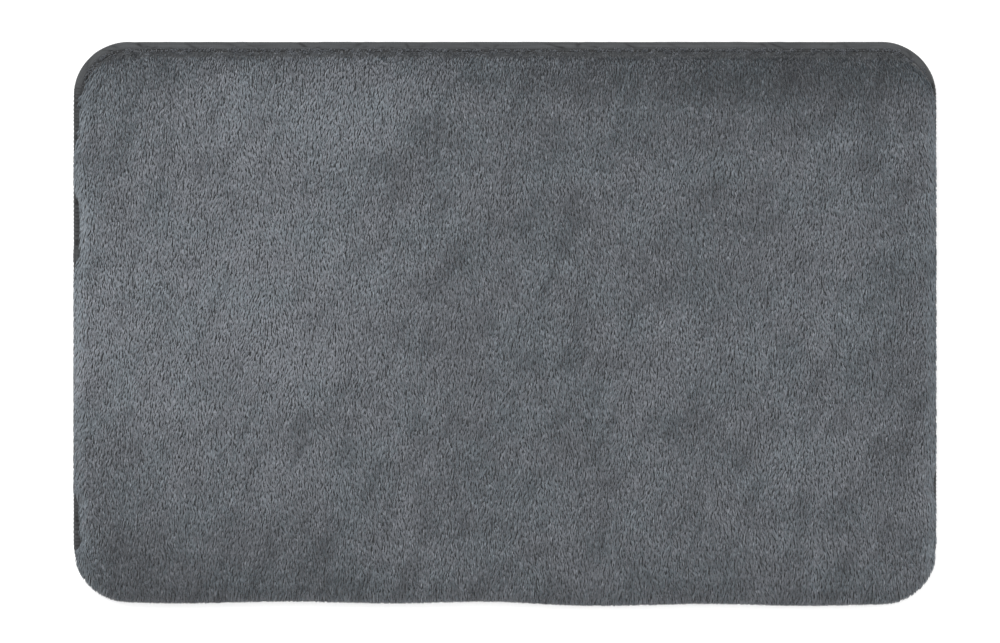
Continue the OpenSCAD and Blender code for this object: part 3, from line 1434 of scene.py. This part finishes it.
@dataclass
class EdgeTape:
    """The tape folded round the edge of the layers, a little gathered by its seam.

    Args:
        mat: Outline of the bound mat.
        bottom_z: Lowest point of the lower lip.
        top_z: Highest point of the upper lip where it is flat.
        lip: Width of each lip.
        seam_inset: Distance from the edge to the seam.
        crown: How far the tape swells over the upper lip, outside the seam.
        proud: How far it stands past the edge of the mat.
        top_round: Radius of its upper shoulder.
        bottom_round: Radius of its lower shoulder.
        sole: How far it swells below the lower lip.
        thickness: Thickness of the tape.
        slack: Small step between the tape's inner face and the layers, so that no faces share a plane.
        column: Distance from point to point along the tape.
        splice_y: Y of the splice on the -X side.
        splice_step: Height of the splice.
        flat_width: Width that the tape was cut to. Not used.
        wave: Height of its gentle waves.
        gather_gap: Least and most distance from gather to gather, in millimetres.
        gather_width: Least and most width of a gather, in millimetres.
        gather_depth: Least and most depth of a gather, in millimetres.
        gather_inset: Least and most distance from the edge to its deepest point, in millimetres.
        pucker_every: Average distance from pucker to pucker beside the seam.
        pucker_depth: Depth of a pucker.
        flank_pitch: Distance from fold to fold of the fine ruffle on the short sides.
        flank_depth: Depth of that ruffle.
        seed: Where the random patterns start.
    """

    mat: RoundRect
    bottom_z: float
    top_z: float
    lip: float = 12 * MM
    seam_inset: float = 9 * MM
    crown: float = 0.9 * MM
    proud: float = 0.1 * MM
    top_round: float = 3.8 * MM
    bottom_round: float = 2.4 * MM
    sole: float = 0.2 * MM
    thickness: float = 0.8 * MM
    slack: float = 0.04 * MM
    column: float = 1.4 * MM
    splice_y: float = 63 * MM
    splice_step: float = 0.5 * MM
    flat_width: float = 0.036
    wave: float = 0.16 * MM
    gather_gap: tuple[float, float] = (8, 60)
    gather_width: tuple[float, float] = (1.2, 3.0)
    gather_depth: tuple[float, float] = (0.2, 1.1)
    gather_inset: tuple[float, float] = (3.0, 5.5)
    pucker_every: float = 60 * MM
    pucker_depth: float = 0.9 * MM
    flank_pitch: float = 4.2 * MM
    flank_depth: float = 0.55 * MM
    seed: int = 23

    def shoulder(
        self, radius: float, centre_z: float, angles: list[float], weight: float
    ) -> list[tuple[float, float, float]]:
        """Draw a round shoulder of the section.

        Args:
            radius: Its radius.
            centre_z: Height of its centre.
            angles: Angles from straight up, outwards.
            weight: How far relief shows there.

        Returns:
            Inset, height and weight of each point.
        """
        middle = radius - self.proud
        return [
            (middle - radius * math.sin(angle), centre_z + radius * math.cos(angle), weight)
            for angle in angles
        ]

    def section(self) -> np.ndarray:
        """Draw the tape cut across, from the upper lip round the edge to the lower lip and back.

        Returns:
            Inset, height and how far relief shows there, one row for each point.
        """
        top, low, seam = self.top_z, self.bottom_z, self.seam_inset
        shoulder_z = top + self.crown - self.top_round
        points = [
            (self.lip, top - 0.35 * MM, 0.0),
            (self.lip - 0.6 * MM, top - 0.02 * MM, 0.3),
            (seam + 1.3 * MM, top + 0.02 * MM, 0.3),
            (seam + 0.5 * MM, top - 0.25 * MM, 0.1),
            (seam, top - 0.38 * MM, 0.1),
            (seam - 0.5 * MM, top - 0.22 * MM, 0.3),
            (seam - 1.3 * MM, top + 0.22 * MM, 0.7),
            (seam - 1.9 * MM, top + 0.46 * MM, 0.9),
            (seam - 2.5 * MM, top + 0.66 * MM, 1.0),
            (seam - 3.2 * MM, top + 0.79 * MM, 1.0),
            (seam - 3.9 * MM, top + 0.87 * MM, 1.0),
        ]
        points += self.shoulder(self.top_round, shoulder_z, [step * math.pi / 16 for step in range(9)], 1.0)
        for share in (0.3, 0.6, 0.85):
            bulge = self.proud + 0.25 * MM * math.sin(share * math.pi)
            points.append((-bulge, shoulder_z * (1 - share * 0.78), 0.8))
        turns = [math.pi / 2 + step * math.pi / 10 for step in range(6)]
        points += self.shoulder(self.bottom_round, low - self.sole + self.bottom_round, turns, 0.5)
        points += [
            (4.5 * MM, low - self.sole, 0.3),
            (seam - 1.6 * MM, low - 0.08 * MM, 0.2),
            (seam - 0.5 * MM, low + 0.15 * MM, 0.1),
            (seam, low + 0.25 * MM, 0.0),
            (seam + 0.5 * MM, low + 0.15 * MM, 0.0),
            (self.lip - 1.2 * MM, low, 0.0),
            (self.lip - 0.3 * MM, low + 0.1 * MM, 0.0),
            (self.lip, low + 0.4 * MM, 0.0),
        ]
        wall = self.thickness + self.slack
        bed, lid = low + self.thickness - self.slack, top - self.thickness + self.slack
        inner = [
            (self.lip - 0.2 * MM, bed),
            (seam - 3 * MM, bed),
            (wall + 0.3 * MM, bed),
            (wall, low + self.thickness + 0.4 * MM),
            (wall, top - self.thickness - 0.4 * MM),
            (wall + 0.3 * MM, lid),
            (seam - 3 * MM, lid),
            (self.lip - 0.2 * MM, lid),
        ]
        points += [(inset, z, 0.0) for inset, z in inner]
        return np.array(points + points[:1])

    def relief(self, along: np.ndarray, inset: np.ndarray, points: np.ndarray) -> np.ndarray:
        """Find how far gathers and creases lift the tape's outer face.

        Args:
            along: Distance walked along the outline.
            inset: Distance in from the outline.
            points: Where that is, (n, 2).

        Returns:
            The lift, below 0 in a crease.
        """
        rng = np.random.default_rng(self.seed)
        lift = self.wave * lattice_noise(self.seed, along / (11 * MM), inset / (4 * MM))
        shown = smoothstep(inset, -2 * MM, 1.5 * MM) - smoothstep(inset, 6.5 * MM, 9 * MM)
        spot = 0.0
        while spot < self.mat.perimeter:
            spot += rng.uniform(*self.gather_gap) * MM
            slant, width = rng.normal(1.2, 1.3), rng.uniform(*self.gather_width) * MM
            depth = rng.uniform(*self.gather_depth) * MM
            middle = rng.uniform(*self.gather_inset) * MM
            gap = (along - spot + slant * (inset - middle)) / width
            reach = np.exp(-(((inset - middle) / (3 * MM)) ** 2))
            lift -= depth * np.exp(-gap * gap) * reach * shown
        for _ in range(round(self.mat.perimeter / self.pucker_every)):
            spot, middle = rng.uniform(0, self.mat.perimeter), rng.uniform(4.8, 7.2) * MM
            reach, width = rng.uniform(1.6, 3.4) * MM, rng.uniform(0.5, 0.8) * MM
            across = inset - middle - rng.normal(0, 0.2) * (along - spot)
            lift -= self.pucker_depth * np.exp(-(((along - spot) / reach) ** 2) - (across / width) ** 2)
        flank = smoothstep(np.abs(points[:, 0]), self.mat.length / 2 - 3 * MM, self.mat.length / 2)
        jitter = 2 * lattice_noise(self.seed + 1, along / (9 * MM), inset * 0)
        phase = along * math.tau / self.flank_pitch + jitter
        lift += self.flank_depth * flank * (np.sin(phase) - 0.6) * shown
        splice = (points[:, 1] - self.splice_y) * np.where(points[:, 0] < 0, 1, 1e6)
        step = smoothstep(splice, 0, 1.6 * MM) - smoothstep(splice, 8 * MM, 20 * MM)
        return lift + self.splice_step * step * flank

    def build(self) -> bpy.types.Object:
        """Model the tape and hang it on the frame.

        Returns:
            The tape.
        """
        section = self.section()
        girth = float(np.hypot(*np.diff(section[:, :2], axis=0).T).sum())
        columns = round(self.mat.perimeter / self.column)
        bm = bmesh.new()
        bm.loops.layers.uv.new("tape")
        rows = len(section) - 1
        bmesh.ops.create_grid(bm, x_segments=columns, y_segments=rows, size=0.5, calc_uvs=True)
        grid = np.array([v.co for v in bm.verts])
        along = (grid[:, 0] + 0.5) * self.mat.perimeter
        station = np.rint((grid[:, 1] + 0.5) * rows).astype(int)
        inset, z, weight = section[station].T
        # Which way the section runs at each station, so that relief lifts square to the tape
        slope = np.gradient(section[:-1, :2], axis=0)
        slope /= np.hypot(*slope.T)[:, None]
        slope = np.concatenate([slope, slope[:1]])[station]
        points, normals = self.mat.walk(along)
        lift = self.relief(along, inset, points) * weight
        # Painted shading for the "crease" attribute: shade in the gathers' creases and along the seam,
        # blotchy shade under the lapping fur, and a painted highlight on the ridge of the lip.
        seam = np.exp(-(((inset - self.seam_inset - 1 * MM) / (1.4 * MM)) ** 2)) * (weight > 0)
        blotch = 0.5 + 0.5 * lattice_noise(self.seed + 2, along / (4 * MM), inset / (3 * MM))
        shaded = smoothstep(inset, 6.8 * MM, 9.2 * MM) * (weight > 0) * blotch
        lit = smoothstep(inset, 1.5 * MM, 4.5 * MM) * (1 - smoothstep(inset, 6.5 * MM, 8.5 * MM))
        painted_shading = np.clip(-lift / MM, 0, 1) * 0.7 + 0.3 * seam + 0.6 * shaded - 0.14 * lit
        inset = inset + slope[:, 1] * lift
        z = z - slope[:, 0] * lift
        flat = points - normals * inset[:, None]
        layer = bm.verts.layers.float.new("crease")
        for vert, place, value in zip(bm.verts, np.column_stack([flat, z]), painted_shading):
            vert.co = place
            vert[layer] = value
        bmesh.ops.remove_doubles(bm, verts=bm.verts, dist=0.02 * MM)
        smooth_faces(bm)
        tape = finished("edge_tape", bm, TapeFinish(self.mat.perimeter, girth).material())
        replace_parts(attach(tape, BODY), "edge_binding")
        return tape


@dataclass
class Seam:
    """A row of lock stitches through a lip of the tape.

    Args:
        name: Name of the row.
        node: The CAD thread that it stands for.
        line: Outline that the stitches follow.
        z: Height of the stitches' middle.
        below: Whether the stitches bow towards the floor.
        pitch: Distance from stitch to stitch.
        length: Length of a stitch.
        bulk: Thickness of the thread.
        seed: Where chance starts.
    """

    name: str
    node: str
    line: RoundRect
    z: float
    below: bool = False
    pitch: float = 3.2 * MM
    length: float = 2.7 * MM
    bulk: float = 0.42 * MM
    seed: int = 31

    def stitch(self, material: bpy.types.Material) -> bpy.types.Object:
        """Model one stitch along X, 1 long and 1 thick, sunk at both ends.

        Args:
            material: The thread's material.

        Returns:
            The stitch, outside any collection.
        """
        bm = bmesh.new()
        bmesh.ops.create_cone(bm, cap_ends=True, segments=6, radius1=0.5, radius2=0.5, depth=1)
        cut_across(bm, (-0.3, 0, 0.3))
        for vert in bm.verts:
            share = 2 * vert.co.z
            full = 1 - 0.55 * abs(share) ** 3
            vert.co = Vector((vert.co.z, vert.co.x * full, vert.co.y * full - 0.45 * share * share))
        smooth_faces(bm)
        return loose("stitch", bm, material)

    def build(self, material: bpy.types.Material) -> bpy.types.Object:
        """Model the row and hang it on the frame.

        Args:
            material: The thread's material.

        Returns:
            The row of stitches.
        """
        rng = np.random.default_rng(self.seed)
        count = round(self.line.perimeter / self.pitch)
        points, normals = self.line.walk(np.arange(count) * self.line.perimeter / count)
        angle = np.arctan2(normals[:, 0], -normals[:, 1]) + rng.normal(0.06, 0.03, count)
        places = np.column_stack([points, np.full(count, self.z)])
        upset = np.full(count, math.pi if self.below else 0.0)
        turns = np.column_stack([upset, np.zeros(count), angle])
        size = rng.uniform(0.93, 1.07, count)
        sizes = np.column_stack([self.length * size, self.bulk * size, self.bulk * size])
        row = plant(self.name, [self.stitch(material)], places, turns, sizes, np.zeros(count))
        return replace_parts(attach(row, BODY), self.node)


# ---------------------------------------------------------------- underside


@dataclass
class GripCoat:
    """The rubber spread on the backing, with domed dots in staggered rows.

    Args:
        mat: Outline of the bound mat.
        film: Lowest and highest point of the spread rubber.
        label_x: X of the care label's middle.
        label_y: Y of the care label's free end.
        inset: How far inside the mat's edge the rubber ends.
        pitch: Distance from dot to dot.
        dot_radius: Radius of a dot at its root.
        dot_height: Height of a dot under the rubber.
        dot_root: How far a dot's root goes up into the rubber.
        dot_sides: Number of sides of a dot.
        rim_sides: Number of sides of the rubber's outline.
        clear_edge: Least distance from a dot's middle to the mat's edge.
        clear_label: Least distances from a dot's middle to the label's middle and to its free end.
    """

    mat: RoundRect
    film: tuple[float, float]
    label_x: float
    label_y: float
    inset: float = 0.8 * MM
    pitch: float = 25 * MM
    dot_radius: float = 3.5 * MM
    dot_height: float = 1.4 * MM
    dot_root: float = 0.1 * MM
    dot_sides: int = 12
    rim_sides: int = 480
    clear_edge: float = 33.5 * MM
    clear_label: tuple[float, float] = (23.5 * MM, 6.5 * MM)

    def dot_places(self) -> np.ndarray:
        """List where the dots stand.

        Returns:
            X and Y of their middles, (n, 2).
        """
        rise = self.pitch * math.sqrt(3) / 2
        rows, columns = math.ceil(self.mat.width / 2 / rise), math.ceil(self.mat.length / 2 / self.pitch)
        row, column = grid_over(np.arange(-rows, rows + 1), np.arange(-columns, columns + 1))
        x = (column + np.where(row % 2 == 0, 0, 0.5)) * self.pitch
        y = row * rise + self.mat.centre_y
        clear_x, clear_y = self.clear_label
        by_label = (np.abs(x - self.label_x) < clear_x) & (y > self.label_y - clear_y)
        kept = (self.mat.inside_by(x, y) > self.clear_edge) & ~by_label
        return np.column_stack([x[kept], y[kept]])

    def dot(self, material: bpy.types.Material) -> bpy.types.Object:
        """Model one dot, domed towards the floor.

        Args:
            material: The rubber's material.

        Returns:
            The dot, outside any collection.
        """
        bm = bmesh.new()
        height, radius = self.dot_height + self.dot_root, self.dot_radius
        profile = [(1.0, 1.0), (0.97, 0.62), (0.8, 0.2), (0.45, 0.03), (0.0, 0.0)]
        verts = [bm.verts.new((radius * r, 0, height * h)) for r, h in profile]
        geom = verts + [bm.edges.new(pair) for pair in zip(verts, verts[1:])]
        around = {"axis": (0, 0, 1), "cent": (0, 0, 0), "angle": math.tau}
        bmesh.ops.spin(bm, geom=geom, steps=self.dot_sides, use_merge=True, **around)
        bmesh.ops.remove_doubles(bm, verts=bm.verts, dist=0.01 * MM)
        bmesh.ops.contextual_create(bm, geom=[e for e in bm.edges if e.is_boundary])
        smooth_faces(bm, most_sides=4)
        return loose("dot", bm, material)

    def build(self) -> bpy.types.Object:
        """Model the coat with its dots and hang it on the frame.

        Returns:
            The coat.
        """
        material = RubberFinish().material()
        spots = self.dot_places()
        count = len(spots)
        places = np.column_stack([spots, np.zeros(count)])
        turns, sizes = np.zeros((count, 3)), np.ones((count, 3))
        dots = plant("grip_dots_only", [self.dot(material)], places, turns, sizes, np.zeros(count))
        outline = self.mat.shrunk(self.inset)
        bm = bmesh.new()
        bmesh.ops.create_circle(bm, cap_ends=True, segments=self.rim_sides, radius=1)
        points, _ = outline.walk(np.arange(self.rim_sides) * outline.perimeter / self.rim_sides)
        ring = sorted(bm.verts, key=lambda v: math.atan2(v.co.y, v.co.x) % math.tau)
        for vert, point in zip(ring, points):
            vert.co = (*point, self.film[0])
        raised = bmesh.ops.extrude_face_region(bm, geom=bm.faces[:])["geom"]
        lifted = [g for g in raised if isinstance(g, bmesh.types.BMVert)]
        bmesh.ops.translate(bm, vec=(0, 0, self.film[1] - self.film[0]), verts=lifted)
        smooth_faces(bm, most_sides=0)
        bm.from_mesh(dots.data)
        bpy.data.objects.remove(dots)
        coat = finished("grip_coat_dotted", bm, material)
        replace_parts(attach(coat, BODY), "grip_coat")
        LOG.info("dots: %d", count)
        return coat


@dataclass
class CareLabel:
    """A blank woven ribbon caught under the lower lip of the tape.

    Args:
        low: Lowest corner of the CAD label.
        high: Highest corner of the CAD label.
        droop: How far its free end hangs.
        thickness: Thickness of the ribbon.
        selvedge: How much thicker its woven edges look.
        cells: Number of faces along X and Y.
    """

    low: Vector
    high: Vector
    droop: float = 0.55 * MM
    thickness: float = 0.22 * MM
    selvedge: float = 0.05 * MM
    cells: tuple[int, int] = (34, 28)

    def build(self) -> bpy.types.Object:
        """Model the label and hang it on the frame.

        Returns:
            The label.
        """
        width, length = self.high.x - self.low.x, self.high.y - self.low.y
        bm = bmesh.new()
        bm.loops.layers.uv.new("ribbon")
        columns, rows = self.cells
        bmesh.ops.create_grid(bm, x_segments=columns, y_segments=rows, size=0.5, calc_uvs=True)
        bmesh.ops.scale(bm, vec=(width, length, 1), verts=bm.verts)
        middle = (self.low + self.high) / 2
        bmesh.ops.translate(bm, vec=(middle.x, middle.y, self.high.z - 0.02 * MM), verts=bm.verts)
        for vert in bm.verts:
            free = 1 - (vert.co.y - self.low.y) / length
            side = (vert.co.x - middle.x) / width * 2
            hang = max(0.0, free - 0.25) / 0.75
            wave = 0.5 + 0.5 * math.sin(5.2 * side + 2.1 * free)
            edge = self.selvedge if abs(side) > 0.9 else 0
            vert.co.z -= hang * (0.25 * self.droop + 0.75 * self.droop * wave * hang) - edge
        bmesh.ops.solidify(bm, geom=bm.faces[:], thickness=self.thickness)
        smooth_faces(bm)
        label = finished("care_ribbon", bm, SatinFinish(width, length).material())
        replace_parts(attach(label, BODY), "care_label")
        return label


# ---------------------------------------------------------------- layers kept from the CAD


@dataclass
class InnerLayers:
    """The foam, the films and the two cloths inside, which keep their CAD shapes.

    Args:
        foam_fill: How full the foam pad is, 1 for tight. Not used.
    """

    foam_fill: float = 0.9

    def build(self) -> None:
        """Dress the layers."""
        film = InnerCloth.FILM.material()
        finishes = {
            "ground_cloth": InnerCloth.GROUND.material(),
            "upper_bond_film": film,
            "foam_core": InnerCloth.FOAM.material(),
            "lower_bond_film": film,
            "backing_cloth": InnerCloth.BACKING.material(),
        }
        for node, material in finishes.items():
            for place in bpy.data.objects[node].material_slots:
                place.material = material


# ---------------------------------------------------------------- studio


@dataclass(frozen=True)
class Lamp:
    """A soft square lamp.

    Args:
        name: Name of the lamp.
        place: Where it hangs.
        size: Its width.
        power: Its power in watts.
    """

    name: str
    place: tuple[float, float, float]
    size: float
    power: float

    def hang(self) -> None:
        """Hang the lamp, turned to look at the mat."""
        light = bpy.data.lights.new(self.name, "AREA")
        light.size, light.energy = self.size, self.power
        lamp = bpy.data.objects.new(self.name, light)
        lamp.location = self.place
        lamp.rotation_euler = (-Vector(self.place)).to_track_quat("-Z", "Y").to_euler()
        bpy.context.scene.collection.objects.link(lamp)


@dataclass
class Studio:
    """The pale floor, the soft light and the camera.

    Args:
        camera_height: Height of the camera over the widest level of the mat.
        outline_z: Height of that level.
        view_length: Length along X that the camera takes in there.
        aim: X and Y of the camera.
        sensor: Width of the camera's sensor in millimetres.
        floor_reach: Half the width of the floor.
        floor_tone: Linear colour of the floor.
        floor_glow: How strongly the floor glows of itself.
        sky: Strength of the light from all round.
        lamps: The lamps.
    """

    camera_height: float = 6.0
    outline_z: float = 18 * MM
    view_length: float = 1.0421
    aim: tuple[float, float] = (-0.0051, 0.0014)
    sensor: float = 36
    floor_reach: float = 8
    floor_tone: Colour = (0.93, 0.93, 0.93)
    floor_glow: float = 0.2
    sky: float = 1.03
    lamps: tuple[Lamp, ...] = (
        Lamp("key", (-1.6, 1.9, 3.2), 2.0, 95),
        Lamp("fill", (2.2, -1.2, 3.0), 3.0, 36),
    )

    def floor(self) -> None:
        """Lay the floor that the mat rests on, which is clear from below."""
        bm = bmesh.new()
        bmesh.ops.create_grid(bm, x_segments=1, y_segments=1, size=self.floor_reach)
        graph = Graph("floor_white")
        graph.surface(
            Base_Color=(*self.floor_tone, 1),
            Roughness=0.9,
            Emission_Color=(1, 1, 1, 1),
            Emission_Strength=self.floor_glow,
        )
        clear = graph.node("ShaderNodeBsdfTransparent").outputs[0]
        behind = graph.node("ShaderNodeNewGeometry").outputs["Backfacing"]
        mixed = graph.node("ShaderNodeMixShader", Fac=behind)
        graph.feed(mixed, 1, graph.shader.outputs[0])
        graph.feed(mixed, 2, clear)
        graph.feed(graph.tree.nodes["Material Output"], "Surface", mixed.outputs[0])
        floor = finished("floor", bm, graph.material)
        floor.visible_diffuse = floor.visible_glossy = floor.visible_shadow = False

    def camera(self) -> None:
        """Set the camera straight above the mat."""
        data = bpy.data.cameras.new("camera")
        data.sensor_width = self.sensor
        data.lens = self.sensor * self.camera_height / self.view_length
        data.clip_end = 100
        camera = bpy.data.objects.new("camera", data)
        camera.location = (*self.aim, self.camera_height + self.outline_z)
        bpy.context.scene.collection.objects.link(camera)
        bpy.context.scene.camera = camera

    def build(self) -> None:
        """Set up the whole studio."""
        self.floor()
        for lamp in self.lamps:
            lamp.hang()
        world = bpy.data.worlds.new("studio")
        world.use_nodes = True
        background = world.node_tree.nodes["Background"]
        background.inputs["Color"].default_value = (1, 1, 1, 1)
        background.inputs["Strength"].default_value = self.sky
        bpy.context.scene.world = world
        bpy.context.scene.view_settings.view_transform = "Standard"
        self.camera()


def main() -> None:
    """Build every sub-assembly round the frame, in order."""
    logging.basicConfig(level=logging.INFO, format="%(message)s")
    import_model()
    low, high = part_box("edge_binding")
    _, pile_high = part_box("fur_pile")
    _, coat_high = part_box("grip_coat")
    label_low, label_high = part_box("care_label")
    fit = Fit()
    mat = RoundRect(high.x - low.x, high.y - low.y, fit.corner_radius, (high.y + low.y) / 2)
    Studio().build()
    tape = EdgeTape(mat, low.z, high.z)
    pieces = [*FurPile(mat, high.z + fit.lap_gap, pile_high.z).build(), tape.build()]
    thread = ThreadFinish().material()
    line = mat.shrunk(tape.seam_inset)
    needle = Seam("needle_stitches", "needle_thread", line, high.z - fit.needle_sink)
    bobbin_z = low.z + fit.bobbin_sink
    bobbin = Seam("bobbin_stitches", "bobbin_thread", line, bobbin_z, below=True, seed=32)
    film = (coat_high.z - fit.coat_thickness, coat_high.z)
    coat = GripCoat(mat, film, (label_low.x + label_high.x) / 2, label_low.y)
    pieces += [needle.build(thread), bobbin.build(thread), coat.build()]
    pieces.append(CareLabel(label_low, label_high).build())
    InnerLayers().build()
    for piece in pieces:
        LOG.info("%s: %d faces", piece.name, len(piece.data.polygons))


if __name__ == "__main__":
    main()
